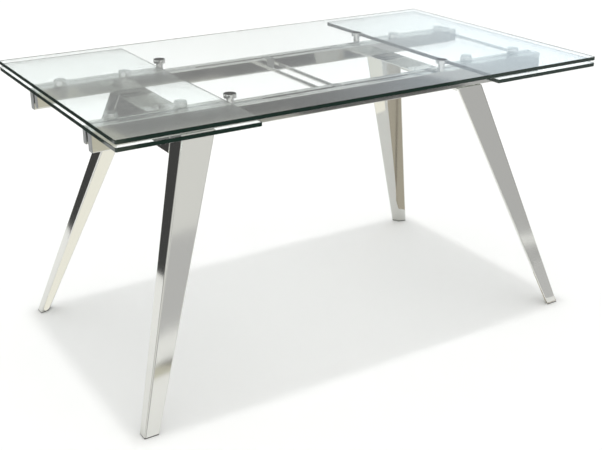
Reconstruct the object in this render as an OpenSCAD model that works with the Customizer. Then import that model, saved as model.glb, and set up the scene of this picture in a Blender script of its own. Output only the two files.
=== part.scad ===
// Extendable dining table: a clear glass top on a polished steel frame, with a
// glass leaf stored under each end. Each leaf rides on a carriage that runs on
// two ball slides and is pulled out along the table's length.
// X runs along the table, Y across it and Z up; the origin is on the floor,
// under the middle of the top.

/* [Table top] */
// Length of the closed table
table_l = 1400; // [1260:10:1800]
// Width of the table
table_w = 800; // [700:10:1000]
// Height of the top surface above the floor
table_h = 750; // [620:5:900]
// Thickness of the main glass
top_t = 10; // [8:1:15]
// Radius of the glass corners in plan
corner_r = 4; // [2:1:12]

/* [Leaves] */
// Length of each leaf
leaf_l = 350; // [330:5:420]
// Thickness of a leaf
leaf_t = 10; // [8:1:15]
// Air gap between the main glass and a stored leaf
leaf_gap = 7; // [4:1:15]
// How far each leaf pulls out
leaf_travel = 300; // [200:10:310]
// Height of the pucks that a leaf is bonded to
puck_h = 14; // [10:1:20]
// Diameter of a puck
puck_d = 32; // [26:1:36]
// Distance from a leaf's outer end to its outer pucks
puck_end_inset = 85; // [60:5:120]
// Distance between a leaf's two rows of pucks
puck_pitch = 175; // [140:5:190]

/* [Rails] */
// Height of the fixed rails
rail_h = 46; // [44:1:60]
// Width of the fixed rails
rail_w = 20; // [19:1:26]
// Distance between the centre lines of the two fixed rails
rail_span = 400; // [360:10:460]
// Wall of the rails and the carriage bars
tube_wall = 2; // [1.5:0.1:2.8]
// Distance from the end of the top to the end of a rail
rail_inset = 18; // [10:1:40]
// Thickness of the end caps
cap_t = 2; // [1.5:0.5:4]

/* [Carriages] */
// Height of a carriage bar
bar_h = 35; // [34:1:42]
// Width of a carriage bar
bar_w = 16; // [15:1:20]
// Side of the square cross ties
tie_side = 8; // [6:1:10]
// Centre of an inner tie from the middle of the table
tie_centre = 23; // [20:1:40]

/* [Top posts] */
// Diameter of the pad under the main glass
pad_d = 32; // [26:1:36]
// Height of the pad
pad_h = 10; // [8:1:12]
// Diameter of the post below the pad
post_d = 19; // [14:1:19]
// Clear distance between a pad and a stored leaf
pad_clear = 9; // [4:1:20]

/* [Slides] */
// Length of a slide
slide_l = 450; // [430:10:500]
// Distance from the end of a rail to its slide
slide_inset = 7; // [4:1:20]
// Room between a rail and a carriage bar, which the slide fills
slide_gap = 14; // [14:1:18]
// Radius of a bearing ball
ball_r = 2.5; // [2:0.1:2.6]
// Balls in one row
ball_count = 5; // [3:1:6]

/* [Legs] */
// Distance from the end of the top to the outer face of a leg at its top
leg_inset = 237; // [200:1:290]
// Width of a leg at its top, along the table
leg_top_w = 89; // [80:1:105]
// Depth of a leg at its top, across the table
leg_top_d = 63; // [56:1:75]
// How far a leg stands out past the side of its rail
leg_ledge = 7; // [4:1:14]
// How much of a leg's width its slanting inner side takes, at the top
leg_slant_w = 26; // [15:1:30]
// How much of a leg's depth its slanting inner side takes, at the top
leg_slant_d = 18; // [8:1:22]
// Width of a foot, along the table
foot_w = 41; // [34:1:55]
// Depth of a foot, across the table
foot_d = 31; // [26:1:45]
// Distance from the end of the top to the outer face of a foot
foot_inset_x = 25; // [0:1:80]
// Distance from the side of the top to the outer face of a foot
foot_inset_y = 13; // [0:1:60]
// Height of the beam's flange, which joins the two legs at one end
beam_h = 48; // [35:1:60]
// Wall of the legs and beams
leg_wall = 3; // [2:0.5:4]
// Height of the glide under a foot
glide_h = 3; // [2:0.5:6]

/* [Hidden] */
$fn = 48;

half_l = table_l / 2;
half_w = table_w / 2;

// Heights, from the top surface downwards
top_z = table_h - top_t;
leaf_top_z = top_z - leaf_gap;
leaf_z = leaf_top_z - leaf_t;
rail_top_z = leaf_z - puck_h;
rail_z = rail_top_z - rail_h;
bar_z = rail_top_z - bar_h;
slide_z = bar_z + bar_h / 2;
beam_z = rail_z - beam_h;
pad_z = top_z - pad_h;

// Places across the table
rail_y = rail_span / 2;
rail_in_y = rail_y - rail_w / 2;
bar_out_y = rail_in_y - slide_gap;
bar_in_y = bar_out_y - bar_w;
bar_y = bar_out_y - bar_w / 2;

// Places along the table
rail_end_x = half_l - rail_inset;
bar_start_x = 12;
puck_out_x = half_l - puck_end_inset;
puck_in_x = puck_out_x - puck_pitch;
post_x = half_l - leaf_l - pad_clear - pad_d / 2;
slide_out_x = rail_end_x - slide_inset;
slide_in_x = slide_out_x - slide_l;

// Corner lines of the leg that stands at +X and +Y, as [at its top, on the floor]
leg_x = half_l - leg_inset;
leg_y = rail_y + rail_w / 2 + leg_ledge;
foot_x = half_l - foot_inset_x;
foot_y = half_w - foot_inset_y;
corner_out = [[leg_x, leg_y, rail_z], [foot_x, foot_y, 0]];
corner_in_x = [[leg_x - leg_top_w, leg_y, rail_z], [foot_x - foot_w, foot_y, 0]];
corner_in_y = [[leg_x, leg_y - leg_top_d, rail_z], [foot_x, foot_y - foot_d, 0]];
inner_top = [leg_x - leg_top_w + leg_slant_w, leg_y - leg_top_d + leg_slant_d, rail_z];
function at_height(line, z) = line[1] + (line[0] - line[1]) * (z / rail_z);

// Fasteners
stud_r = 3;
post_stud_r = 4;
hole_clear = 0.2;
head_clear = 0.4;
plug_clear = 0.1;
nut_t = 5;
m6_flats = 10;
m8_flats = 13;
bolt_pitch = 36;
bolt_inset = 32;
bolt_head_h = 8;
bolt_head_r = 6.5;
washer_r = 8;
washer_t = 1.6;
bolt_grip = 16;
stud_bury = 9;
screw_r = 2;
screw_head_r = 3.6;
screw_head_h = 1.6;

// Slide section, measured from the rail face (u) and from the slide's middle (v)
channel_web = 1.5;
channel_half_h = 16;
channel_depth = 11;
channel_flange = 3;
member_half_h = 11;
member_flange = 3.5;
member_web = 1.7;
member_lip_u = 3.5;
ball_u = 7;
ball_v = 12;
groove_r = ball_r + 0.08;
cage_t = 1.2;
cage_w = 8;
cage_hole_r = ball_r + 0.1;
cage_l = slide_l - leaf_travel - 10;
cage_in_x = (slide_in_x + slide_out_x - cage_l) / 2;
ball_pitch = cage_l / ball_count;
stop_l = 10;
stop_clear = 0.5;
stop_half_h = 5;

steel = "#c9cbca";
dark_steel = "#8d9092";
clear_glass = "#cfe6df80";
zinc = "#a9acae";
black_rubber = "#2b2b2b";

// ---- helpers ----
module front_and_back() { children(); mirror([0, 1, 0]) children(); }
module left_and_right() { children(); mirror([1, 0, 0]) children(); }
module to_left() { mirror([1, 0, 0]) children(); }
module block(x, y, z) {
    translate([x[0], y[0], z[0]]) cube([x[1] - x[0], y[1] - y[0], z[1] - z[0]]);
}
module pane(x, y, z, t) {
    // a glass pane with rounded corners, from x[0] to x[1] and y[0] to y[1]
    translate([0, 0, z]) linear_extrude(t) {
        translate([x[0] + corner_r, y[0]]) square([x[1] - x[0] - 2 * corner_r, y[1] - y[0]]);
        translate([x[0], y[0] + corner_r]) square([x[1] - x[0], y[1] - y[0] - 2 * corner_r]);
        for (px = [x[0] + corner_r, x[1] - corner_r], py = [y[0] + corner_r, y[1] - corner_r])
            translate([px, py]) circle(corner_r);
    }
}
module upright(r, h, z) { translate([0, 0, z]) cylinder(r = r, h = h); }
module hex_nut(flats, bore_r, z, t = nut_t) {
    difference() {
        translate([0, 0, z]) cylinder(d = flats / cos(30), h = t, $fn = 6);
        translate([0, 0, z - 1]) cylinder(r = bore_r, h = t + 2);
    }
}

// ---- top and its posts ----
module main_glass() {
    color(clear_glass) pane([-half_l, half_l], [-half_w, half_w], top_z, top_t);
}
module at_posts() { left_and_right() front_and_back() translate([post_x, rail_y, 0]) children(); }
module post_stud_hole() { upright(post_stud_r + hole_clear, 2 * stud_bury, rail_top_z - stud_bury); }
module top_pads() { color(steel) at_posts() upright(pad_d / 2, pad_h, pad_z); }
module top_posts() {
    color(steel) at_posts() difference() {
        upright(post_d / 2, pad_z - rail_top_z, rail_top_z);
        post_stud_hole();
    }
}
module top_post_studs() {
    color(zinc) at_posts() upright(post_stud_r, 2 * stud_bury - 1, rail_top_z - stud_bury);
}
module top_post_nuts() {
    color(zinc) at_posts()
        hex_nut(m8_flats, post_stud_r + hole_clear, rail_top_z - tube_wall - nut_t);
}

// ---- fixed rails ----
module at_frame_bolts() {
    // two bolts in the top of each leg, under the rail
    left_and_right() front_and_back() for (side = [-1, 1])
        translate([leg_x - bolt_inset + side * bolt_pitch / 2, rail_y, 0]) children();
}
module at_channel_screws() {
    // screws that hold a channel to its rail, at the middle of the section
    left_and_right() front_and_back() for (x = [slide_in_x + 40, slide_out_x - 40])
        translate([x, rail_in_y, slide_z]) rotate([90, 0, 0]) children();
}
module rail() {
    tube_end = rail_end_x - cap_t;
    difference() {
        block([-tube_end, tube_end], [rail_y - rail_w / 2, rail_y + rail_w / 2], [rail_z, rail_top_z]);
        block([-half_l, half_l], [rail_in_y + tube_wall, rail_y + rail_w / 2 - tube_wall],
            [rail_z + tube_wall, rail_top_z - tube_wall]);
        at_posts() post_stud_hole();
        at_frame_bolts() upright(post_stud_r + hole_clear, 2 * tube_wall, rail_z - tube_wall / 2);
        at_channel_screws() translate([0, 0, -2 * tube_wall])
            cylinder(r = screw_r + hole_clear, h = 3 * tube_wall);
    }
}
module back_rail() { color(steel) rail(); }
module front_rail() { color(steel) mirror([0, 1, 0]) rail(); }
module rail_end_caps() {
    color(dark_steel) left_and_right() front_and_back()
        block([rail_end_x - cap_t, rail_end_x], [rail_in_y, rail_y + rail_w / 2], [rail_z, rail_top_z]);
}
module rail_nuts() {
    color(zinc) at_frame_bolts() hex_nut(m8_flats, post_stud_r + hole_clear, rail_z + tube_wall);
}
module centre_stops() {
    // blocks between the two carriages, where their bars stop when closed
    color(steel) front_and_back()
        block([-bar_start_x + 0.5, bar_start_x - 0.5], [bar_in_y, rail_in_y], [bar_z, rail_top_z]);
}

// ---- legs and beams ----
module behind_face(line, towards, inset) {
    // all that lies behind a sloping face, which holds a corner line of the leg
    // and runs level from the top of that line towards another point
    normal = cross(towards - line[0], line[0] - line[1]);
    n = normal / norm(normal);
    size = 4 * table_h;
    translate(line[0] - inset * n) rotate([0, -asin(n[2]), atan2(n[1], n[0])])
        translate([-size, -size / 2, -size / 2]) cube(size);
}
module leg_solid(inset, z0, z1) {
    // a leg between two heights, with its side faces moved in by inset
    intersection() {
        block([0, table_l], [0, table_w], [z0, z1]);
        behind_face(corner_out, corner_in_x[0], inset);
        behind_face(corner_in_x, inner_top, inset);
        behind_face(corner_in_y, corner_out[0], inset);
        behind_face([inner_top, inner_top + corner_in_y[1] - corner_in_y[0]],
            corner_in_y[0], inset);
    }
}
module leg() {
    difference() {
        leg_solid(0, glide_h, rail_z);
        leg_solid(leg_wall, glide_h - 1, rail_z - leg_wall);
        at_frame_bolts() upright(post_stud_r + hole_clear, 3 * leg_wall, rail_z - 2 * leg_wall);
    }
}
module leg_back_right() { color(steel) leg(); }
module leg_back_left() { color(steel) mirror([1, 0, 0]) leg(); }
module leg_front_right() { color(steel) mirror([0, 1, 0]) leg(); }
module leg_front_left() { color(steel) mirror([1, 0, 0]) mirror([0, 1, 0]) leg(); }
function skin(line, z, inset) = [at_height(line, z)[0] + inset, z];
module across_table(profile) {
    translate([0, half_w, 0]) rotate([90, 0, 0]) linear_extrude(table_w) polygon(profile);
}
module beam() {
    // a plate across the top with a flange down its outer edge, in line with the legs'
    // faces, whose ends fit against the sloping inner sides of the legs
    under_z = rail_z - leg_wall;
    intersection() {
        difference() {
            across_table([skin(corner_out, beam_z, 0), skin(corner_out, rail_z, 0),
                skin(corner_in_x, rail_z, 0), skin(corner_in_x, beam_z, 0)]);
            across_table([skin(corner_out, 0, -leg_wall), skin(corner_out, under_z, -leg_wall),
                [0, under_z], [0, 0]]);
            front_and_back() leg_solid(0, glide_h, 2 * rail_z);
        }
        block([0, half_l], [-leg_y, leg_y], [0, rail_z]);
    }
}
module right_beam() { color(steel) beam(); }
module left_beam() { color(steel) to_left() beam(); }
module foot_glides() {
    // a pad under each foot, with a plug that fits inside the leg
    pad_edge = 1.5;
    plug_h = 12;
    color(black_rubber) left_and_right() front_and_back() {
        leg_solid(pad_edge, 0, glide_h);
        leg_solid(leg_wall + plug_clear, 0, glide_h + plug_h);
    }
}
module frame_bolts() {
    seat_z = rail_z - leg_wall - washer_t;
    color(zinc) at_frame_bolts() {
        upright(post_stud_r, bolt_grip, seat_z);
        difference() {
            upright(bolt_head_r, bolt_head_h, seat_z - bolt_head_h);
            translate([0, 0, seat_z - bolt_head_h - 1]) cylinder(d = 7, h = 5, $fn = 6);
        }
    }
}
module frame_washers() {
    color(zinc) at_frame_bolts() difference() {
        upright(washer_r, washer_t, rail_z - leg_wall - washer_t);
        upright(post_stud_r + hole_clear, 3 * washer_t, rail_z - leg_wall - 2 * washer_t);
    }
}

// ---- ball slides: drawn for the right end, at the back ----
module along_slide(x0, x1) {
    // extrudes a section drawn as [u, v] from x0 to x1, with u measured off the rail
    translate([x0, rail_in_y, slide_z]) rotate([90, 0, 90]) linear_extrude(x1 - x0)
        mirror([1, 0]) children();
}
module raceways(x0, x1) {
    along_slide(x0, x1) for (s = [-1, 1]) translate([ball_u, s * ball_v]) circle(groove_r);
}
module channels() {
    front_and_back() difference() {
        along_slide(slide_in_x, slide_out_x) difference() {
            translate([0, -channel_half_h]) square([channel_depth, 2 * channel_half_h]);
            translate([channel_web, channel_flange - channel_half_h])
                square([channel_depth, 2 * (channel_half_h - channel_flange)]);
        }
        raceways(slide_in_x - 1, slide_out_x + 1);
        at_channel_screws() translate([0, 0, -1]) cylinder(r = screw_r + hole_clear, h = 4);
    }
}
module at_member_screws() {
    // screws that hold a slide member to its carriage bar
    front_and_back() for (x = [slide_in_x + 60, slide_out_x - 60])
        translate([x, bar_out_y, slide_z]) rotate([-90, 0, 0]) children();
}
module member_screw_holes() {
    at_member_screws() translate([0, 0, -2 * tube_wall])
        cylinder(r = screw_r + hole_clear, h = 4 * tube_wall);
}
module member_screws() {
    at_member_screws() {
        translate([0, 0, member_web]) cylinder(r = screw_head_r, h = screw_head_h);
        translate([0, 0, -tube_wall - 2]) cylinder(r = screw_r, h = tube_wall + 2 + member_web);
    }
}
module members() {
    difference() {
        member_bars();
        member_screw_holes();
    }
}
module member_bars() {
    front_and_back() difference() {
        along_slide(slide_in_x, slide_out_x) difference() {
            translate([member_lip_u, -member_half_h])
                square([slide_gap - member_lip_u, 2 * member_half_h]);
            translate([member_lip_u - 1, member_flange - member_half_h])
                square([slide_gap - member_lip_u + 1 - member_web,
                    2 * (member_half_h - member_flange)]);
        }
        raceways(slide_in_x - 1, slide_out_x + 1);
    }
}
module bumpers() {
    stop_x = slide_in_x + stop_l + leaf_travel + stop_clear;
    front_and_back() along_slide(stop_x, stop_x + stop_l)
        translate([channel_web, -stop_half_h]) square([6, 2 * stop_half_h]);
}
module stop_lugs() {
    lug_u = 5;
    front_and_back() along_slide(slide_in_x, slide_in_x + stop_l)
        translate([lug_u, -stop_half_h])
            square([slide_gap - member_web - lug_u, 2 * stop_half_h]);
}
module at_balls() {
    front_and_back() for (s = [-1, 1], i = [0 : ball_count - 1])
        translate([cage_in_x + (i + 0.5) * ball_pitch, rail_in_y - ball_u, slide_z + s * ball_v])
            children();
}
module ball_cages() {
    difference() {
        front_and_back() for (s = [-1, 1]) along_slide(cage_in_x, cage_in_x + cage_l)
            translate([ball_u - cage_w / 2, s * ball_v - cage_t / 2]) square([cage_w, cage_t]);
        at_balls() translate([0, 0, -cage_t]) cylinder(r = cage_hole_r, h = 2 * cage_t);
    }
}
module balls() { at_balls() sphere(ball_r); }
module channel_screws() {
    // pan heads inside the channel, with shanks through its web and the rail wall
    color(zinc) at_channel_screws() {
        translate([0, 0, channel_web]) cylinder(r = screw_head_r, h = screw_head_h);
        translate([0, 0, -tube_wall - 2]) cylinder(r = screw_r, h = tube_wall + 2 + channel_web);
    }
}
module right_channels() { color(dark_steel) channels(); }
module left_channels() { color(dark_steel) to_left() channels(); }
module right_slide_bumpers() { color(black_rubber) bumpers(); }
module left_slide_bumpers() { color(black_rubber) to_left() bumpers(); }

// ---- leaf carriages: drawn for the right end ----
module leaf() { pane([half_l - leaf_l, half_l], [-half_w, half_w], leaf_z, leaf_t); }
module at_pucks() {
    front_and_back() for (x = [puck_in_x, puck_out_x]) translate([x, bar_y, 0]) children();
}
module puck_hole() { upright(stud_r + hole_clear, 2 * stud_bury, rail_top_z - stud_bury); }
module pucks() {
    at_pucks() difference() { upright(puck_d / 2, puck_h, rail_top_z); puck_hole(); }
}
module puck_studs() { at_pucks() upright(stud_r, 2 * stud_bury - 1, rail_top_z - stud_bury); }
module puck_nuts() {
    at_pucks() hex_nut(m6_flats, stud_r + hole_clear, rail_top_z - tube_wall - nut_t);
}
module at_tie_ends(tie_x) {
    // screws that enter the ends of a tie through the wall of each bar
    front_and_back() for (x = tie_x) translate([x, bar_in_y, slide_z]) rotate([90, 0, 0]) children();
}
module carriage_bar(tie_x) {
    difference() {
        block([bar_start_x, rail_end_x - cap_t], [bar_in_y, bar_out_y], [bar_z, rail_top_z]);
        block([bar_start_x + tube_wall, rail_end_x], [bar_in_y + tube_wall, bar_out_y - tube_wall],
            [bar_z + tube_wall, rail_top_z - tube_wall]);
        at_pucks() puck_hole();
        member_screw_holes();
        at_tie_ends(tie_x) translate([0, 0, -2 * tube_wall])
            cylinder(r = screw_r + hole_clear, h = 3 * tube_wall);
    }
}
module bar_caps() {
    front_and_back()
        block([rail_end_x - cap_t, rail_end_x], [bar_in_y, bar_out_y], [bar_z, rail_top_z]);
}
module tie(x) {
    difference() {
        block([x - tie_side / 2, x + tie_side / 2], [-bar_in_y, bar_in_y],
            [slide_z - tie_side / 2, slide_z + tie_side / 2]);
        at_tie_ends([x]) translate([0, 0, -1]) cylinder(r = screw_r + hole_clear, h = stud_bury + 2);
    }
}
module tie_screws(tie_x) {
    at_tie_ends(tie_x) {
        translate([0, 0, -tube_wall - screw_head_h]) cylinder(r = screw_head_r, h = screw_head_h);
        translate([0, 0, -tube_wall]) cylinder(r = screw_r, h = tube_wall + stud_bury);
    }
}
// the outer tie lies as near the end as the heads of its screws can, behind the caps
right_ties = [tie_centre, rail_end_x - cap_t - screw_head_r - head_clear];
left_ties = [tie_centre];

module right_leaf() { color(clear_glass) leaf(); }
module right_pucks() { color(steel) pucks(); }
module right_puck_studs() { color(zinc) puck_studs(); }
module right_puck_nuts() { color(zinc) puck_nuts(); }
module right_back_bar() { color(steel) carriage_bar(right_ties); }
module right_front_bar() { color(steel) mirror([0, 1, 0]) carriage_bar(right_ties); }
module right_bar_caps() { color(dark_steel) bar_caps(); }
module right_inner_tie() { color(steel) tie(right_ties[0]); }
module right_outer_tie() { color(steel) tie(right_ties[1]); }
module right_tie_screws() { color(zinc) tie_screws(right_ties); }
module right_slide_members() { color(dark_steel) members(); }
module right_member_screws() { color(zinc) member_screws(); }
module right_stop_lugs() { color(dark_steel) stop_lugs(); }
module right_ball_cages() { color(zinc) ball_cages(); }
module right_balls() { color(steel) balls(); }

module left_leaf() { color(clear_glass) to_left() leaf(); }
module left_pucks() { color(steel) to_left() pucks(); }
module left_puck_studs() { color(zinc) to_left() puck_studs(); }
module left_puck_nuts() { color(zinc) to_left() puck_nuts(); }
module left_back_bar() { color(steel) to_left() carriage_bar(left_ties); }
module left_front_bar() { color(steel) to_left() mirror([0, 1, 0]) carriage_bar(left_ties); }
module left_bar_caps() { color(dark_steel) to_left() bar_caps(); }
module left_inner_tie() { color(steel) to_left() tie(left_ties[0]); }
module left_tie_screws() { color(zinc) to_left() tie_screws(left_ties); }
module left_slide_members() { color(dark_steel) to_left() members(); }
module left_member_screws() { color(zinc) to_left() member_screws(); }
module left_stop_lugs() { color(dark_steel) to_left() stop_lugs(); }
module left_ball_cages() { color(zinc) to_left() ball_cages(); }
module left_balls() { color(steel) to_left() balls(); }

main_glass();
front_rail();
back_rail();
rail_end_caps();
rail_nuts();
top_pads();
top_posts();
top_post_studs();
top_post_nuts();
leg_front_left();
leg_front_right();
leg_back_left();
leg_back_right();
left_beam();
right_beam();
foot_glides();
frame_bolts();
frame_washers();
centre_stops();
left_channels();
right_channels();
channel_screws();
left_slide_bumpers();
right_slide_bumpers();
left_leaf();
left_pucks();
left_puck_studs();
left_puck_nuts();
left_front_bar();
left_back_bar();
left_bar_caps();
left_inner_tie();
left_tie_screws();
left_slide_members();
left_member_screws();
left_stop_lugs();
left_ball_cages();
left_balls();
right_leaf();
right_pucks();
right_puck_studs();
right_puck_nuts();
right_front_bar();
right_back_bar();
right_bar_caps();
right_inner_tie();
right_outer_tie();
right_tie_screws();
right_slide_members();
right_member_screws();
right_stop_lugs();
right_ball_cages();
right_balls();
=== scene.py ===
# %% [markdown]
# # An extendable glass dining table
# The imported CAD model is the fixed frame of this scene: every piece below is
# placed from its boxes, rides on one of its bodies, and takes the place of the
# plainer CAD node where the real thing has rounded edges or a turned shape.

# %% Load the frame
import math

import bmesh
import bpy
from mathutils import Matrix, Vector


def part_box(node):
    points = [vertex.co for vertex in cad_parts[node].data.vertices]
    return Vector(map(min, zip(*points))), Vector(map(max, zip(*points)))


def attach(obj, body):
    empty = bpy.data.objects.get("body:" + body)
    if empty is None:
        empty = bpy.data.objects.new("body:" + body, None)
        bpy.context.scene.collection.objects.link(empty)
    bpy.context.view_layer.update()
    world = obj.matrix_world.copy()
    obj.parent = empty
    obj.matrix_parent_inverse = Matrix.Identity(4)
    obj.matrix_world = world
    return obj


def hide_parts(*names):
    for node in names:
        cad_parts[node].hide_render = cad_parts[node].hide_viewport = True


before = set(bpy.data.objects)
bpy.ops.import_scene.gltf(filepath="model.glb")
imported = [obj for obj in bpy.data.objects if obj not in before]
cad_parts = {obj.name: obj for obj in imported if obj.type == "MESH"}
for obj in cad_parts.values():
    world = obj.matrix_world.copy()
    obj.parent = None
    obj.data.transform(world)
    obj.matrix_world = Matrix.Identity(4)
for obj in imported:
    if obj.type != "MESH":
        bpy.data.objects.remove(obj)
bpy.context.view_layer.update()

MM = 0.001

# %% [markdown]
# ## Camera
# The table is seen from its front left, from above the top. A lens of about
# 60 mm keeps the long top from spreading, and the tiny shift and roll are those
# of a hand-held camera.

# %% Place the camera
LENS = 59.763
SENSOR_WIDTH = 36.0
yaw, pitch, roll = math.radians(32.06), math.radians(22.98), 0.0030
camera_data = bpy.data.cameras.new("table_camera")
camera_data.sensor_width, camera_data.lens = SENSOR_WIDTH, LENS
camera_data.shift_x, camera_data.shift_y = 0.0042, -0.0007
camera = bpy.data.objects.new("table_camera", camera_data)
bpy.context.scene.collection.objects.link(camera)
turn = (Matrix.Rotation(-yaw, 3, "Z") @ Matrix.Rotation(math.pi / 2 - pitch, 3, "X")
        @ Matrix.Rotation(roll, 3, "Z"))
camera.rotation_euler = turn.to_euler()
camera.location = (-1.4154, -2.2517, 1.3907)
bpy.context.scene.camera = camera
print("lens, mm:", round(camera_data.lens, 2))

# %% [markdown]
# ## Working by hand in edit mode
# Each piece starts as a primitive and is shaped with the edit-mode operators.
# An operator acts on whatever is selected, so these helpers first deselect
# everything and then pick vertices, edges or faces by where they are.

# %% Helpers for starting, selecting and bevelling
def clear_selection():
    if bpy.context.object and bpy.context.object.mode != "OBJECT":
        bpy.ops.object.mode_set(mode="OBJECT")
    bpy.ops.object.select_all(action="DESELECT")


def named(name):
    piece = bpy.context.object
    piece.name = name
    bpy.ops.object.transform_apply(location=True, rotation=True, scale=True)
    return piece


def start_box(name, low, high):
    clear_selection()
    middle = [(a + b) / 2 for a, b in zip(low, high)]
    size = [b - a for a, b in zip(low, high)]
    bpy.ops.mesh.primitive_cube_add(size=1, location=middle, scale=size)
    return named(name)


def start_disc(name, radius, low, high, sides=64):
    clear_selection()
    bpy.ops.mesh.primitive_cylinder_add(
        vertices=sides, radius=radius, depth=high - low, location=(0, 0, (low + high) / 2))
    return named(name)


def pick(piece, kind, test):
    """Selects in edit mode the VERT, EDGE or FACE elements that pass the test."""
    if piece.mode != "EDIT":
        clear_selection()
        piece.select_set(True)
        bpy.context.view_layer.objects.active = piece
        bpy.ops.object.mode_set(mode="EDIT")
    bpy.ops.mesh.select_mode(type=kind)
    bpy.ops.mesh.select_all(action="DESELECT")
    mesh = bmesh.from_edit_mesh(piece.data)
    mesh.normal_update()
    found = [part for part in {"VERT": mesh.verts, "EDGE": mesh.edges, "FACE": mesh.faces}[kind]
             if test(part)]
    for part in found:
        part.select_set(True)
    mesh.select_flush_mode()
    bmesh.update_edit_mesh(piece.data)
    return len(found)


def bevel(piece, width, segments, test):
    """Rounds the edges that pass the test."""
    if pick(piece, "EDGE", test):
        bpy.ops.mesh.bevel(offset=width, segments=segments, affect="EDGES", profile=0.5)
    bpy.ops.object.mode_set(mode="OBJECT")


def runs_along(edge, axis):
    direction = (edge.verts[1].co - edge.verts[0].co).normalized()
    return abs(direction[axis]) > 0.9


def lies_at(part, axis, place, reach=0.05 * MM):
    return all(abs(v.co[axis] - place) < reach for v in part.verts)


SHARP_FOLD = math.radians(40)


def is_sharp(edge):
    return edge.is_manifold and edge.calc_face_angle(0) > SHARP_FOLD


# %% [markdown]
# Repeated pieces are modelled once, for the table's back right quarter, and
# copied with a mesh of their own. A mirrored copy is inside out, so its normals
# are recalculated.

# %% Helpers for copying and finishing
def copy_of(piece, name, move=(0, 0, 0), flip=(1, 1, 1)):
    clear_selection()
    piece.select_set(True)
    bpy.context.view_layer.objects.active = piece
    bpy.ops.object.duplicate(linked=False)
    twin = bpy.context.object
    twin.name = name
    twin.location, twin.scale = move, flip
    bpy.ops.object.transform_apply(location=True, rotation=True, scale=True)
    if flip[0] * flip[1] * flip[2] < 0:
        pick(twin, "FACE", lambda face: True)
        bpy.ops.mesh.normals_make_consistent(inside=False)
        bpy.ops.object.mode_set(mode="OBJECT")
    return twin


def join(name, pieces):
    clear_selection()
    for piece in pieces:
        piece.select_set(True)
    bpy.context.view_layer.objects.active = pieces[0]
    bpy.ops.object.join()
    bpy.context.object.name = name
    return bpy.context.object


def finish_piece(piece, material, body, slot, *nodes, smooth=35):
    """Smooths the rounded edges, keeps the flats flat, and hands the piece over."""
    clear_selection()
    piece.select_set(True)
    bpy.context.view_layer.objects.active = piece
    bpy.ops.object.shade_smooth_by_angle(angle=math.radians(smooth))
    normals = piece.modifiers.new("flat faces stay flat", "WEIGHTED_NORMAL")
    normals.keep_sharp = True
    bpy.ops.object.modifier_apply(modifier=normals.name)
    piece.data.materials.clear()
    piece.data.materials.append(material)
    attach(piece, body)
    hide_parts(*nodes)
    return piece


# %% [markdown]
# ## Materials
# Colours are given as sRGB hex values, as read from a swatch, and one function
# turns them to the linear values that the shader works in. One small function
# adds a node with its settings and links.

# %% Helpers for materials
def linear(hex_colour):
    channels = [int(hex_colour[i:i + 2], 16) / 255 for i in (1, 3, 5)]
    return [c / 12.92 if c <= 0.04045 else ((c + 0.055) / 1.055) ** 2.4 for c in channels] + [1.0]


def add_node(tree, kind, values=None, links=None, **settings):
    node = tree.nodes.new(kind)
    for key, value in settings.items():
        setattr(node, key, value)
    for key, value in (values or {}).items():
        node.inputs[key].default_value = value
    for key, socket in (links or {}).items():
        tree.links.new(socket, node.inputs[key])
    return node


def new_material(name, **values):
    material = bpy.data.materials.new(name)
    material.use_nodes = True
    shader = material.node_tree.nodes["Principled BSDF"]
    for key, value in values.items():
        shader.inputs[key.replace("_", " ")].default_value = value
    return material, material.node_tree, shader


def per_mm(spacing_mm):
    """The scale of a pattern whose cells are this many millimetres apart."""
    return 1 / (spacing_mm * MM)


# %% [markdown]
# **Clear float glass**, toughened, with ground and polished edges. Iron in the
# glass takes out red first, so a ray that runs the whole width of the plate
# comes out nearly black green, while one straight through the plate keeps
# almost all its light. Absorption in the volume gives both from one value.

# %% Glass
GLASS_GREEN, GLASS_DENSITY, GLASS_IOR = (0.0, 0.58, 0.46), 2.4, 1.52


def absorb(tree):
    """Gives a material of the panes the green depth of float glass."""
    depth = add_node(tree, "ShaderNodeVolumeAbsorption",
                     {"Color": (*GLASS_GREEN, 1.0), "Density": GLASS_DENSITY})
    tree.links.new(depth.outputs["Volume"], tree.nodes["Material Output"].inputs["Volume"])


glass, tree, shader = new_material(
    "clear toughened float glass", Base_Color=linear("#fdfefe"), Roughness=0.0, IOR=GLASS_IOR,
    Transmission_Weight=1.0)
absorb(tree)
print("light left after 1 m:",
      [round(math.exp(-GLASS_DENSITY * (1 - c)), 3) for c in GLASS_GREEN])

# %% [markdown]
# **The ground edge** of the pane, seen from outside, shows light that has run
# the pane's whole width between its faces, some forty reflections. That green
# depth is given here as a colour of its own, under the polish. From inside the
# pane the same edge is glass that grinding has made grey.

# %% Glass edges
glass_edge, tree, shader = new_material(
    "ground and polished glass edge", Base_Color=linear("#1d2d27"), Roughness=0.06, IOR=GLASS_IOR)
ground = add_node(tree, "ShaderNodeBsdfGlass",
                  {"Color": linear("#7c837f"), "Roughness": 0.0, "IOR": GLASS_IOR})
sides = add_node(tree, "ShaderNodeNewGeometry")
edge = add_node(tree, "ShaderNodeMixShader", None,
                {0: sides.outputs["Backfacing"], 1: shader.outputs["BSDF"], 2: ground.outputs["BSDF"]})
tree.links.new(edge.outputs["Shader"], tree.nodes["Material Output"].inputs["Surface"])
absorb(tree)

# %% [markdown]
# **Mirror-polished stainless steel** for the legs and tubes. Buffing leaves a
# long soft haze and the faint waviness of bent sheet: roughness drifts over
# some centimetres, and a very low bump about 40 mm long bends the reflections.

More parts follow.
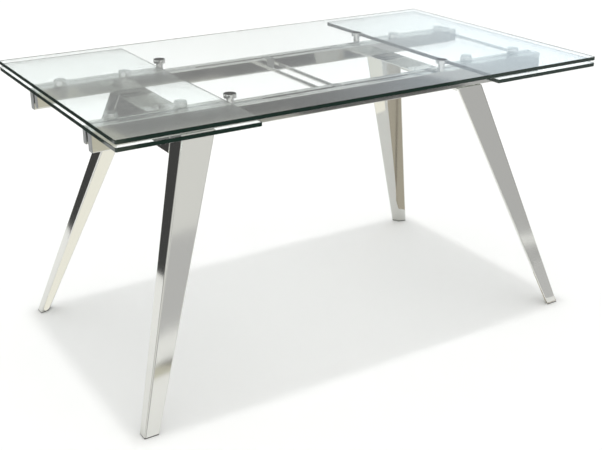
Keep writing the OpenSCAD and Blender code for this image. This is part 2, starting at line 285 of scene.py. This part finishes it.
# %% Polished steel
polished, tree, shader = new_material(
    "mirror-polished stainless steel", Base_Color=linear("#d9d9d5"), Metallic=1.0, Roughness=0.1)
place = add_node(tree, "ShaderNodeTexCoord")
haze = add_node(tree, "ShaderNodeTexNoise", {"Scale": per_mm(60), "Detail": 4.0, "Roughness": 0.55},
                {"Vector": place.outputs["Object"]})
haze_range = add_node(tree, "ShaderNodeMapRange", {"To Min": 0.04, "To Max": 0.10},
                      {"Value": haze.outputs["Fac"]})
tree.links.new(haze_range.outputs["Result"], shader.inputs["Roughness"])
# Buffing lines are 0.3 mm apart; they are drawn 2 mm apart so that they can be seen.
long_way = add_node(tree, "ShaderNodeMapping", {"Scale": (1.0, 1.0, 0.06)},
                    {"Vector": place.outputs["Object"]})
buffing = add_node(tree, "ShaderNodeTexNoise", {"Scale": per_mm(2), "Detail": 3.0},
                   {"Vector": long_way.outputs["Vector"]})
wave = add_node(tree, "ShaderNodeTexNoise", {"Scale": per_mm(45), "Detail": 1.0},
                {"Vector": place.outputs["Object"]})
relief = add_node(tree, "ShaderNodeMath", {1: 0.01}, {0: buffing.outputs["Fac"]},
                  operation="MULTIPLY")
relief = add_node(tree, "ShaderNodeMath", None,
                  {0: relief.outputs["Value"], 1: wave.outputs["Fac"]}, operation="ADD")
bump = add_node(tree, "ShaderNodeBump", {"Strength": 0.06, "Distance": 0.4 * MM},
                {"Height": relief.outputs["Value"]})
tree.links.new(bump.outputs["Normal"], shader.inputs["Normal"])

# %% [markdown]
# **Turned stainless steel** for the posts, pads and pucks. A lathe leaves rings
# round the axis, so on the upright sides they are level lines that depend on
# height alone.

# %% Turned steel
turned, tree, shader = new_material(
    "turned stainless steel", Base_Color=linear("#dddddb"), Metallic=1.0, Roughness=0.14)
place = add_node(tree, "ShaderNodeTexCoord")
by_height = add_node(tree, "ShaderNodeMapping", {"Scale": (0.02, 0.02, 1.0)},
                     {"Vector": place.outputs["Object"]})
rings = add_node(tree, "ShaderNodeTexNoise", {"Scale": per_mm(1.2), "Detail": 3.0},
                 {"Vector": by_height.outputs["Vector"]})
ring_gloss = add_node(tree, "ShaderNodeMapRange", {"To Min": 0.09, "To Max": 0.22},
                      {"Value": rings.outputs["Fac"]})
tree.links.new(ring_gloss.outputs["Result"], shader.inputs["Roughness"])
bump = add_node(tree, "ShaderNodeBump", {"Strength": 0.1, "Distance": 0.05 * MM},
                {"Height": rings.outputs["Fac"]})
tree.links.new(bump.outputs["Normal"], shader.inputs["Normal"])

# %% [markdown]
# **Bright zinc plate** for the slides, screws and nuts. Plating on cold-rolled
# strip is bluish and slightly cloudy: cells some 4 mm wide differ in colour and
# gloss, with fine rolling grain under them.

# %% Zinc plate
zinc, tree, shader = new_material(
    "bright zinc plate on rolled steel", Base_Color=linear("#b4b9bc"), Metallic=1.0, Roughness=0.3)
place = add_node(tree, "ShaderNodeTexCoord")
cloud = add_node(tree, "ShaderNodeTexNoise", {"Scale": per_mm(4), "Detail": 5.0, "Roughness": 0.6},
                 {"Vector": place.outputs["Object"]})
colours = add_node(tree, "ShaderNodeValToRGB", None, {"Fac": cloud.outputs["Fac"]})
colours.color_ramp.elements[0].position, colours.color_ramp.elements[0].color = 0.3, linear("#a2a8ad")
colours.color_ramp.elements[1].position, colours.color_ramp.elements[1].color = 0.7, linear("#c8cbca")
tree.links.new(colours.outputs["Color"], shader.inputs["Base Color"])
gloss = add_node(tree, "ShaderNodeMapRange", {"To Min": 0.22, "To Max": 0.42},
                 {"Value": cloud.outputs["Fac"]})
tree.links.new(gloss.outputs["Result"], shader.inputs["Roughness"])

# %% [markdown]
# **Ground bearing steel** for the balls: hard, clean and brighter than the
# plated strip, with only a faint lapping haze.

# %% Bearing steel
bearing, tree, shader = new_material(
    "ground bearing steel", Base_Color=linear("#cfd2d4"), Metallic=1.0, Roughness=0.08)
place = add_node(tree, "ShaderNodeTexCoord")
lapping = add_node(tree, "ShaderNodeTexNoise", {"Scale": per_mm(1.5), "Detail": 2.0},
                   {"Vector": place.outputs["Object"]})
lapped = add_node(tree, "ShaderNodeMapRange", {"To Min": 0.05, "To Max": 0.13},
                  {"Value": lapping.outputs["Fac"]})
tree.links.new(lapped.outputs["Result"], shader.inputs["Roughness"])

# %% [markdown]
# **Satin anodised aluminium** for the centre stops: etched before anodising, so
# it scatters evenly, with extrusion lines along X about 1.5 mm apart.

# %% Anodised aluminium
anodised, tree, shader = new_material(
    "satin anodised aluminium", Base_Color=linear("#a4a5a4"), Metallic=1.0, Roughness=0.32)
place = add_node(tree, "ShaderNodeTexCoord")
drawn = add_node(tree, "ShaderNodeMapping", {"Scale": (0.03, 1.0, 1.0)},
                 {"Vector": place.outputs["Object"]})
lines = add_node(tree, "ShaderNodeTexNoise", {"Scale": per_mm(1.5), "Detail": 3.0},
                 {"Vector": drawn.outputs["Vector"]})
line_gloss = add_node(tree, "ShaderNodeMapRange", {"To Min": 0.26, "To Max": 0.4},
                      {"Value": lines.outputs["Fac"]})
tree.links.new(line_gloss.outputs["Result"], shader.inputs["Roughness"])
bump = add_node(tree, "ShaderNodeBump", {"Strength": 0.15, "Distance": 0.03 * MM},
                {"Height": lines.outputs["Fac"]})
tree.links.new(bump.outputs["Normal"], shader.inputs["Normal"])

# %% [markdown]
# **Moulded ABS** for the caps in the tube ends, grey, with the spark-eroded
# texture of its mould: grains about 0.8 mm wide.

# %% Moulded caps
moulded, tree, shader = new_material(
    "moulded grey ABS", Base_Color=linear("#8b8d8e"), Roughness=0.45, IOR=1.52)
place = add_node(tree, "ShaderNodeTexCoord")
grain = add_node(tree, "ShaderNodeTexNoise", {"Scale": per_mm(0.8), "Detail": 2.0},
                 {"Vector": place.outputs["Object"]})
bump = add_node(tree, "ShaderNodeBump", {"Strength": 0.25, "Distance": 0.05 * MM},
                {"Height": grain.outputs["Fac"]})
tree.links.new(bump.outputs["Normal"], shader.inputs["Normal"])

# %% [markdown]
# **Moulded black rubber** for the foot glides and the slide bumpers: dull, a
# little grey where it has bloomed, with a fine grain.

# %% Rubber
rubber, tree, shader = new_material(
    "moulded black rubber", Base_Color=linear("#222222"), Roughness=0.65, IOR=1.52)
place = add_node(tree, "ShaderNodeTexCoord")
bloom = add_node(tree, "ShaderNodeTexNoise", {"Scale": per_mm(9), "Detail": 5.0},
                 {"Vector": place.outputs["Object"]})
colours = add_node(tree, "ShaderNodeValToRGB", None, {"Fac": bloom.outputs["Fac"]})
colours.color_ramp.elements[0].position, colours.color_ramp.elements[0].color = 0.35, linear("#1a1a1a")
colours.color_ramp.elements[1].position, colours.color_ramp.elements[1].color = 0.75, linear("#343433")
tree.links.new(colours.outputs["Color"], shader.inputs["Base Color"])
grain = add_node(tree, "ShaderNodeTexNoise", {"Scale": per_mm(0.7), "Detail": 2.0},
                 {"Vector": place.outputs["Object"]})
bump = add_node(tree, "ShaderNodeBump", {"Strength": 0.3, "Distance": 0.06 * MM},
                {"Height": grain.outputs["Fac"]})
tree.links.new(bump.outputs["Normal"], shader.inputs["Normal"])
print("materials:", [m.name for m in bpy.data.materials if m.users or m.use_nodes])

# %% [markdown]
# ## Glass panes
# Each pane is a plate with small rounded corners. The glazier grinds a fine
# 45 degree arris along every edge, and it is this arris that draws the thin
# light line round a pane.

# %% Model the panes
CORNER_RADIUS = 4 * MM
ARRIS = 0.8 * MM


def pane(name, node, body):
    low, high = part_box(node)
    plate = start_box(name, low, high)
    bevel(plate, CORNER_RADIUS, 6, lambda e: runs_along(e, 2))
    bevel(plate, ARRIS, 1, lambda e: is_sharp(e) and (lies_at(e, 2, low.z) or lies_at(e, 2, high.z)))
    print(name, "is", [round(v / MM, 1) for v in high - low], "mm")
    finish_piece(plate, glass, body, "clear_glass", node, smooth=25)
    plate.data.materials.append(glass_edge)
    pick(plate, "FACE", lambda f: abs(f.normal.z) < 0.3)
    plate.active_material_index = 1
    bpy.ops.object.material_slot_assign()
    bpy.ops.object.mode_set(mode="OBJECT")
    return plate


pane("main_pane", "main_glass", "base")
pane("left_leaf_pane", "left_leaf", "left_carriage")
pane("right_leaf_pane", "right_leaf", "right_carriage")

# %% [markdown]
# ## Legs
# A leg is folded from sheet: a four-sided taper whose two inner sides slant, so
# it looks like a blade from the side. It starts as a flat four-cornered face,
# each corner is moved to its place, and the face is extruded down to the foot
# and its corners are moved again. The foot is open, with the sheet's thickness
# showing round the plug.

# %% Sizes of a leg
leg_low, leg_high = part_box("leg_back_right")
LEG_TOP_X, LEG_TOP_Y = 463 * MM, 217 * MM
FOOT_X, FOOT_Y = 675 * MM, 387 * MM
FOOT_WIDE, FOOT_DEEP = 41 * MM, 31 * MM
SLANT_WIDE, SLANT_DEEP = 26 * MM, 18 * MM
top_corners = [
    Vector((LEG_TOP_X, LEG_TOP_Y, leg_high.z)),
    Vector((leg_low.x, LEG_TOP_Y, leg_high.z)),
    Vector((leg_low.x + SLANT_WIDE, leg_low.y + SLANT_DEEP, leg_high.z)),
    Vector((LEG_TOP_X, leg_low.y, leg_high.z)),
]


def on_floor():
    """The same four corners on the floor; the slanting sides stay parallel to those above."""
    corner = [Vector((FOOT_X, FOOT_Y, 0)), Vector((FOOT_X - FOOT_WIDE, FOOT_Y, 0)), None,
              Vector((FOOT_X, FOOT_Y - FOOT_DEEP, 0))]
    side_a = (top_corners[2] - top_corners[1]).to_2d()
    side_b = (top_corners[2] - top_corners[3]).to_2d()
    apart = (corner[3] - corner[1]).to_2d()
    along = (apart.x * side_b.y - apart.y * side_b.x) / (side_a.x * side_b.y - side_a.y * side_b.x)
    inner = corner[1].to_2d() + along * side_a
    corner[2] = Vector((inner.x, inner.y, 0))
    return corner


floor_corners = on_floor()


def corner_at(i, z):
    return floor_corners[i].lerp(top_corners[i], z / leg_high.z)


print("foot corners, mm:", [[round(v / MM) for v in c] for c in floor_corners])


# %% Model a leg
def move_corners(piece, places, z):
    """Moves the vertices at height z, taken in order round the face, to their places."""
    pick(piece, "VERT", lambda v: False)
    mesh = bmesh.from_edit_mesh(piece.data)
    level = sorted((v for v in mesh.verts if abs(v.co.z - z) < 0.01 * MM),
                   key=lambda v: v.index)
    starts = [v.co.copy() for v in level]
    indices = [v.index for v in level]
    for index, begin, place in zip(indices, starts, places):
        pick(piece, "VERT", lambda v: v.index == index)
        bpy.ops.transform.translate(value=place - begin)


def taper(name, upper, lower):
    """A solid between two faces with the same number of corners."""
    clear_selection()
    bpy.ops.mesh.primitive_circle_add(vertices=len(upper), radius=50 * MM, fill_type="NGON",
                                      location=(0, 0, upper[0].z))
    piece = named(name)
    move_corners(piece, upper, upper[0].z)
    pick(piece, "FACE", lambda face: True)
    drop = lower[0].z - upper[0].z
    bpy.ops.mesh.extrude_region_move(TRANSFORM_OT_translate={"value": (0, 0, drop)})
    bpy.ops.mesh.select_all(action="SELECT")
    mesh = bmesh.from_edit_mesh(piece.data)
    mesh.verts.ensure_lookup_table()
    below = [v.index for v in mesh.verts if v.co.z < upper[0].z + drop / 2]
    for index in below:
        mesh = bmesh.from_edit_mesh(piece.data)
        mesh.verts.ensure_lookup_table()
        begin = mesh.verts[index].co.copy()
        nearest = min(range(len(upper)), key=lambda i: (upper[i].to_2d() - begin.to_2d()).length)
        pick(piece, "VERT", lambda v: v.index == index)
        bpy.ops.transform.translate(value=lower[nearest] - begin)
    pick(piece, "FACE", lambda face: True)
    bpy.ops.mesh.normals_make_consistent(inside=False)
    bpy.ops.object.mode_set(mode="OBJECT")
    return piece


SHEET = 3 * MM
FOLD_RADIUS = 5 * MM
LEG_EDGE_DROP = 0.3
# The hollow at the foot follows the lean of the leg.
FOOT_HOLLOW = (-4 * MM, -3.5 * MM, 14 * MM)
leg = taper("leg", top_corners, [corner_at(i, leg_low.z) for i in range(4)])
bevel(leg, FOLD_RADIUS, 6, lambda e: abs(e.verts[0].co.z - e.verts[1].co.z) > LEG_EDGE_DROP)
pick(leg, "FACE", lambda f: lies_at(f, 2, leg_low.z))
bpy.ops.mesh.inset(thickness=SHEET, depth=0)
bpy.ops.mesh.extrude_region_move(TRANSFORM_OT_translate={"value": FOOT_HOLLOW})
bpy.ops.object.mode_set(mode="OBJECT")
corners = {"back_right": (1, 1, 1), "back_left": (-1, 1, 1),
           "front_right": (1, -1, 1), "front_left": (-1, -1, 1)}
for where, flip in corners.items():
    finish_piece(copy_of(leg, "folded_leg_" + where, flip=flip), polished, "base",
                 "polished_steel", "leg_" + where)
bpy.data.objects.remove(leg)
print("legs done")

# %% [markdown]
# ## End beams
# A folded plate joins the two legs at each end: flat on top, with a flange down
# its outer edge that carries on the legs' outer sides. It starts as the flat
# plate, mitred to the legs. A strip along its outer edge is cut off with a
# bisection, extruded down, and its lower corners are moved outwards to the
# slope of the legs.

# %% Model the beams
beam_low, beam_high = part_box("right_beam")
UNDER_Z = beam_high.z - SHEET


def beam_ring(z):
    half = [corner_at(3, z), corner_at(2, z), corner_at(1, z)]
    return half + [Vector((c.x, -c.y, c.z)) for c in reversed(half)]


beam = taper("beam", beam_ring(beam_high.z), beam_ring(UNDER_Z))
pick(beam, "FACE", lambda f: True)
bpy.ops.mesh.bisect(plane_co=(LEG_TOP_X - SHEET, 0, 0), plane_no=(1, 0, 0))
pick(beam, "FACE", lambda f: lies_at(f, 2, UNDER_Z) and f.calc_center_median().x > LEG_TOP_X - SHEET)
bpy.ops.mesh.extrude_region_move(
    TRANSFORM_OT_translate={"value": (0, 0, beam_low.z - UNDER_Z)})
spread = corner_at(3, beam_low.z) - corner_at(3, UNDER_Z)
for side in (-1, 1):
    pick(beam, "VERT", lambda v: v.co.z < beam_low.z + 0.1 * MM and v.co.y * side > 0)
    bpy.ops.transform.translate(value=(spread.x, side * spread.y, 0))
pick(beam, "FACE", lambda f: True)
bpy.ops.mesh.normals_make_consistent(inside=False)
bpy.ops.object.mode_set(mode="OBJECT")
bevel(beam, 1.0 * MM, 3, lambda e: runs_along(e, 1) and e.calc_length() > 0.2 and is_sharp(e))
finish_piece(copy_of(beam, "end_beam_left", flip=(-1, 1, 1)), polished, "base",
             "polished_steel", "left_beam")
beam.name = "end_beam_right"
finish_piece(beam, polished, "base", "polished_steel", "right_beam")

# %% [markdown]
# ## Rails and carriage bars
# These are square-cut tubes. A drawn tube has corners rounded to about its wall
# thickness, and its open end shows the wall. The end face is inset by the wall
# and pushed in, which leaves the real hollow for the cap to close.

# %% Model the tubes
WALL = 2 * MM
TUBE_RADIUS = 2 * MM
OPEN_DEPTH = 60 * MM


def tube(name, node, body, open_ends):
    low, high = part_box(node)
    bar = start_box(name, low, high)
    bevel(bar, TUBE_RADIUS, 4, lambda e: runs_along(e, 0))
    for end in open_ends:
        pick(bar, "FACE", lambda f: lies_at(f, 0, end))
        bpy.ops.mesh.inset(thickness=WALL, depth=0)
        inward = OPEN_DEPTH if end < (low.x + high.x) / 2 else -OPEN_DEPTH
        bpy.ops.mesh.extrude_region_move(TRANSFORM_OT_translate={"value": (inward, 0, 0)})
        bpy.ops.object.mode_set(mode="OBJECT")
    print(name, "is", round((high.x - low.x) / MM), "mm long")
    return finish_piece(bar, polished, body, "polished_steel", node)


for where in ("front", "back"):
    low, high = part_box(where + "_rail")
    tube("long_rail_" + where, where + "_rail", "base", (low.x, high.x))
    for side in ("left", "right"):
        node = f"{side}_{where}_bar"
        low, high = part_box(node)
        tube(f"carriage_bar_{side}_{where}", node, side + "_carriage",
             (low.x if side == "left" else high.x,))

# %% [markdown]
# ## Tube end caps
# A pressed-in cap has a thin face as large as the tube with a softly rounded
# rim, and a plug behind it that grips the walls.

# %% Model the caps
CAP = 2 * MM
CAP_RIM = 0.8 * MM
PLUG_GAP, PLUG_LENGTH = 0.1 * MM, 12 * MM


def end_cap(name, low, high, outward):
    plate = start_box(name, low, high)
    face_at, back_at = (high[0], low[0]) if outward > 0 else (low[0], high[0])
    bevel(plate, TUBE_RADIUS, 4, lambda e: runs_along(e, 0))
    bevel(plate, CAP_RIM, 3, lambda e: is_sharp(e) and lies_at(e, 0, face_at))
    pick(plate, "FACE", lambda f: lies_at(f, 0, back_at))
    bpy.ops.mesh.inset(thickness=WALL + PLUG_GAP, depth=0)
    bpy.ops.mesh.extrude_region_move(
        TRANSFORM_OT_translate={"value": (-outward * PLUG_LENGTH, 0, 0)})
    bpy.ops.object.mode_set(mode="OBJECT")
    return plate


rail_low, rail_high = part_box("back_rail")
bar_low, bar_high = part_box("right_back_bar")
rail_caps = []
for side in (-1, 1):
    for where in (-1, 1):
        y = sorted((where * rail_low.y, where * rail_high.y))
        x = sorted((side * rail_high.x, side * (rail_high.x + CAP)))
        rail_caps.append(end_cap("cap", (x[0], y[0], rail_low.z), (x[1], y[1], rail_high.z), side))
finish_piece(join("rail_plugs", rail_caps), moulded, "base", "grey_caps", "rail_end_caps")
for side, name in ((-1, "left"), (1, "right")):
    bar_caps = []
    for where in (-1, 1):
        y = sorted((where * bar_low.y, where * bar_high.y))
        x = sorted((side * bar_high.x, side * (bar_high.x + CAP)))
        bar_caps.append(end_cap("cap", (x[0], y[0], bar_low.z), (x[1], y[1], bar_high.z), side))
    finish_piece(join(name + "_bar_plugs", bar_caps), moulded, name + "_carriage",
                 "grey_caps", name + "_bar_caps")

# %% [markdown]
# ## Cross ties
# Thin square bars that keep the two sides of a carriage parallel. Bright-drawn
# bar has a crisp corner, broken by less than a millimetre.

# %% Model the ties
for node in ("left_inner_tie", "right_inner_tie", "right_outer_tie"):
    low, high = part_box(node)
    tie = start_box(node.replace("tie", "cross_bar"), low, high)
    bevel(tie, 0.7 * MM, 2, lambda e: runs_along(e, 1))
    finish_piece(tie, polished, node.split("_")[0] + "_carriage", "polished_steel", node)

# %% [markdown]
# ## Posts and pads under the main glass
# Each post is turned from bar: a stem with a small step at its foot, and on it
# a wider disc that is bonded to the glass. The stem is bisected at two heights,
# and all that is above the middle of them is shrunk a little to make the step.

# %% Model a post and its pad
pad_low, pad_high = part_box("top_pads")
post_low, post_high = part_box("top_posts")
POST_X, POST_Y = 325 * MM, 200 * MM
PAD_RADIUS, POST_RADIUS = 16 * MM, 9.5 * MM
RIM = 0.9 * MM
STEP_HEIGHT, STEP_BAND, STEM_SHARE = 3 * MM, 1 * MM, 0.95

pad = start_disc("pad", PAD_RADIUS, pad_low.z, pad_high.z)
bevel(pad, RIM, 3,
      lambda e: is_sharp(e) and (lies_at(e, 2, pad_low.z) or lies_at(e, 2, pad_high.z)))
post = start_disc("post", POST_RADIUS, post_low.z, post_high.z)
for height in (post_low.z + STEP_HEIGHT, post_low.z + STEP_HEIGHT + STEP_BAND):
    pick(post, "FACE", lambda f: True)
    bpy.ops.mesh.bisect(plane_co=(0, 0, height), plane_no=(0, 0, 1))
pick(post, "VERT", lambda v: v.co.z > post_low.z + STEP_HEIGHT + STEP_BAND / 2)
bpy.ops.transform.resize(value=(STEM_SHARE, STEM_SHARE, 1.0), center_override=(0, 0, 0))
bpy.ops.object.mode_set(mode="OBJECT")
bevel(post, 0.3 * MM, 2, lambda e: is_sharp(e) and lies_at(e, 2, post_low.z + STEP_HEIGHT))


def at_quarters(source, name, x, y):
    """Copies of a turned piece at plus and minus x and y, joined as one piece."""
    twins = [copy_of(source, name, move=(sx * x, sy * y, 0)) for sx in (-1, 1) for sy in (-1, 1)]
    bpy.data.objects.remove(source)
    return join(name, twins)


finish_piece(at_quarters(pad, "glass_pads", POST_X, POST_Y), turned, "base",
             "polished_steel", "top_pads")
finish_piece(at_quarters(post, "turned_posts", POST_X, POST_Y), turned, "base",
             "polished_steel", "top_posts")

# %% [markdown]
# ## Pucks under the leaves
# Short turned discs, bonded to the leaf above and bolted to the bar below, with
# a rounded rim at both ends.

# %% Model the pucks
puck_low, puck_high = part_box("right_pucks")
PUCK_RADIUS = 16 * MM
PUCK_XS = (440 * MM, 615 * MM)
PUCK_Y = 168 * MM
puck = start_disc("puck", PUCK_RADIUS, puck_low.z, puck_high.z)
bevel(puck, RIM, 3,
      lambda e: is_sharp(e) and (lies_at(e, 2, puck_low.z) or lies_at(e, 2, puck_high.z)))
for side, name in ((-1, "left"), (1, "right")):
    twins = [copy_of(puck, "puck_copy", move=(side * x, y, 0))
             for x in PUCK_XS for y in (-PUCK_Y, PUCK_Y)]
    finish_piece(join(name + "_leaf_discs", twins), turned, name + "_carriage",
                 "polished_steel", name + "_pucks")
bpy.data.objects.remove(puck)

# %% [markdown]
# ## Pieces kept from the frame
# The slides, screws and small parts already have their true shapes, so they
# only take their finishes.

# %% Give the kept nodes their finishes
finishes = {
    "rail_nuts": zinc, "top_post_studs": zinc, "top_post_nuts": zinc, "foot_glides": rubber,
    "frame_bolts": zinc, "frame_washers": zinc, "centre_stops": anodised, "channel_screws": zinc,
}
for side in ("left", "right"):
    finishes.update({
        side + "_channels": zinc, side + "_slide_bumpers": rubber, side + "_puck_studs": zinc,
        side + "_puck_nuts": zinc, side + "_tie_screws": zinc, side + "_slide_members": zinc,
        side + "_member_screws": zinc, side + "_stop_lugs": zinc, side + "_ball_cages": zinc,
        side + "_balls": bearing,
    })
for node, material in finishes.items():
    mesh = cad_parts[node].data
    mesh.materials.clear()
    mesh.materials.append(material)
bare = [n for n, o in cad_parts.items() if not o.hide_render and n not in finishes]
print("kept nodes:", len(finishes), "with no finish:", bare)

# %% [markdown]
# ## Floor and light
# A white painted floor in a bright studio. Most of the light comes from all
# round, and a soft sun overhead draws the faint shadow of the glass top. Cards
# that only reflections see stand round the table, as flags do in a studio, so
# that the polished steel has something dark and something grey to show.

# %% Floor
FLOOR_SIZE = 120
clear_selection()
bpy.ops.mesh.primitive_plane_add(size=FLOOR_SIZE, location=(0, 0, 0))
floor = bpy.context.object
floor.name = "studio_floor"
paint, tree, shader = new_material(
    "white studio floor paint", Base_Color=linear("#f6f6f6"), Roughness=0.9, IOR=1.45)
shader.inputs["Specular IOR Level"].default_value = 0.0
# A painted glow in the floor paint, not a lamp: only rays that have come through a pane
# see it, and it makes up for the light that each surface takes away.
PAINTED_GLOW_PER_SURFACE = 0.18
ray = add_node(tree, "ShaderNodeLightPath")
through = add_node(tree, "ShaderNodeMath", None, {
    0: ray.outputs["Is Transmission Ray"], 1: ray.outputs["Transmission Depth"]},
    operation="MULTIPLY")
glow = add_node(tree, "ShaderNodeMath", {1: PAINTED_GLOW_PER_SURFACE}, {0: through.outputs["Value"]},
                operation="MULTIPLY")
tree.links.new(glow.outputs["Value"], shader.inputs["Emission Strength"])
shader.inputs["Emission Color"].default_value = linear("#ffffff")
floor.data.materials.append(paint)


# %% World and sun
world = bpy.data.worlds.new("studio")
world.use_nodes = True
bpy.context.scene.world = world
tree = world.node_tree
tree.nodes.clear()


def math_node(operation, *values):
    links = {i: v for i, v in enumerate(values) if not isinstance(v, (int, float))}
    constants = {i: v for i, v in enumerate(values) if isinstance(v, (int, float))}
    return add_node(tree, "ShaderNodeMath", constants, links, operation=operation).outputs["Value"]


def ramp(value, start, end, low, high):
    """A smooth step from low to high as value goes from start to end."""
    links = {"Value": value}
    links.update({k: v for k, v in (("To Min", low), ("To Max", high))
                  if not isinstance(v, (int, float))})
    constants = {"From Min": start, "From Max": end}
    constants.update({k: v for k, v in (("To Min", low), ("To Max", high))
                      if isinstance(v, (int, float))})
    return add_node(tree, "ShaderNodeMapRange", constants, links,
                    interpolation_type="SMOOTHSTEP").outputs["Result"]


ray = add_node(tree, "ShaderNodeLightPath")
mirror_ray = math_node("MULTIPLY", ray.outputs["Is Glossy Ray"],
                       math_node("LESS_THAN", ray.outputs["Diffuse Depth"], 0.5))
direction = add_node(tree, "ShaderNodeTexCoord")
parts = add_node(tree, "ShaderNodeSeparateXYZ", None, {"Vector": direction.outputs["Generated"]})
x, y, z = (parts.outputs[axis] for axis in "XYZ")
# What the steel and glass mirror: a light wall in front, a mid grey one behind the
# table that turns into a window at its right end, and a white ceiling.
FRONT_WALL, BACK_WALL, WINDOW, CEILING, ROOM_LIGHT = 0.88, 0.44, 0.85, 0.95, 1.0
wall = ramp(y, -0.3, 0.4, FRONT_WALL, BACK_WALL)
window = math_node("MULTIPLY", ramp(x, 0.44, 0.72, 0.0, 1.0), ramp(y, 0.0, 0.4, 0.0, 1.0))
wall = ramp(window, 0.0, 1.0, wall, WINDOW)
mirrored = ramp(z, 0.45, 0.8, wall, CEILING)
strength = ramp(mirror_ray, 0.0, 1.0, ROOM_LIGHT, mirrored)
tint = add_node(tree, "ShaderNodeMix", {6: linear("#fffffc"), 7: linear("#e4f0fb")},
                {0: window}, data_type="RGBA")
background = add_node(tree, "ShaderNodeBackground", None,
                      {"Color": tint.outputs[2], "Strength": strength})
add_node(tree, "ShaderNodeOutputWorld", None, {"Surface": background.outputs["Background"]})

SUN_STRENGTH, SUN_ANGLE = 0.62, math.radians(4)
sun_data = bpy.data.lights.new("overhead_sun", "SUN")
sun_data.energy, sun_data.angle = SUN_STRENGTH, SUN_ANGLE
sun = bpy.data.objects.new("overhead_sun", sun_data)
bpy.context.scene.collection.objects.link(sun)
bpy.context.scene.view_settings.view_transform = "Standard"


# %% Reflection cards
def card(name, corners, strength, colour="#ffffff"):
    """A card with four corners that only mirroring surfaces can see."""
    clear_selection()
    bpy.ops.mesh.primitive_plane_add(size=1)
    piece = bpy.context.object
    piece.name = name
    for vertex, corner in zip((0, 1, 3, 2), corners):
        piece.data.vertices[vertex].co = corner
    glow = bpy.data.materials.new(name)
    glow.use_nodes = True
    glow.node_tree.nodes.clear()
    emit = add_node(glow.node_tree, "ShaderNodeEmission",
                    {"Color": linear(colour), "Strength": strength})
    add_node(glow.node_tree, "ShaderNodeOutputMaterial", None,
             {"Surface": emit.outputs["Emission"]})
    piece.data.materials.append(glow)
    piece.visible_camera = piece.visible_diffuse = piece.visible_shadow = False
    piece.visible_transmission = piece.visible_volume_scatter = False
    return piece


def on_ground(name, x, y, strength, colour="#ffffff", z=0.004):
    return card(name, [(x[0], y[0], z), (x[1], y[0], z), (x[1], y[1], z), (x[0], y[1], z)],
                strength, colour)


# A black flag at the back left darkens the upper half of the legs' outer sides.
card("flag_back_left", [(-2.1, 2.6, 0.0), (0.4, 9.0, 0.0), (0.4, 9.0, 1.6), (-2.1, 2.6, 1.6)], 0.07)
card("flag_left", [(-2.2, 1.2, 0.0), (-2.1, 2.6, 0.0), (-2.1, 2.6, 1.6), (-2.2, 1.2, 1.6)], 0.07)
on_ground("felt_left", (-2.4, -1.42), (1.75, 4.2), 0.07)
# The camera's stand and a flag far to the right draw the dark lines in the folds.
card("camera_stand", [(-1.75, -4.0, 0.0), (-1.2, -4.0, 0.0), (-1.2, -4.0, 1.7), (-1.75, -4.0, 1.7)], 0.06)
card("flag_right", [(5.0, -2.6, 0.0), (6.0, 1.2, 0.0), (6.0, 1.2, 3.0), (5.0, -2.6, 3.0)], 0.08)
# Grey boards in front are what the fronts of the legs mirror.
card("board_front", [(-9, -6.0, 0.0), (3.6, -6.0, 0.0), (3.6, -6.0, 0.79), (-9, -6.0, 0.79)], 0.63)
card("board_front_right", [(3.6, -6.0, 0.0), (9.0, -3.0, 0.0), (9.0, -3.0, 2.2), (3.6, -6.0, 2.2)], 0.59)
on_ground("board_right", (2.05, 3.8), (-3.6, -1.3), 0.57)
on_ground("board_right_near", (0.75, 2.05), (-1.9, -0.5), 0.66)
# Black felt and grey boards on the ground in front are what the rails' fronts mirror.
on_ground("felt_front", (0.17, 2.05), (-2.7, -2.14), 0.05)
on_ground("felt_front_near", (1.02, 2.05), (-2.14, -1.95), 0.15)
on_ground("board_near", (0.17, 1.02), (-2.14, -1.95), 0.45, "#fffdf4")
on_ground("board_near_left", (-0.7, 0.17), (-2.7, -1.95), 0.66, "#fffbe6")
# A cream board under the table lights the inner side of the back left leg, and a
# beige one with a dark seam that of the back right leg.
on_ground("board_under", (-0.66, 0.2), (0.0, 0.36), 1.15, "#fffdf2")
on_ground("board_under_right", (0.585, 0.72), (-0.40, 0.315), 0.50, "#fff6e2")
on_ground("seam_under_right", (0.628, 0.634), (-0.40, 0.315), 0.20, "#fff6e2", z=0.006)
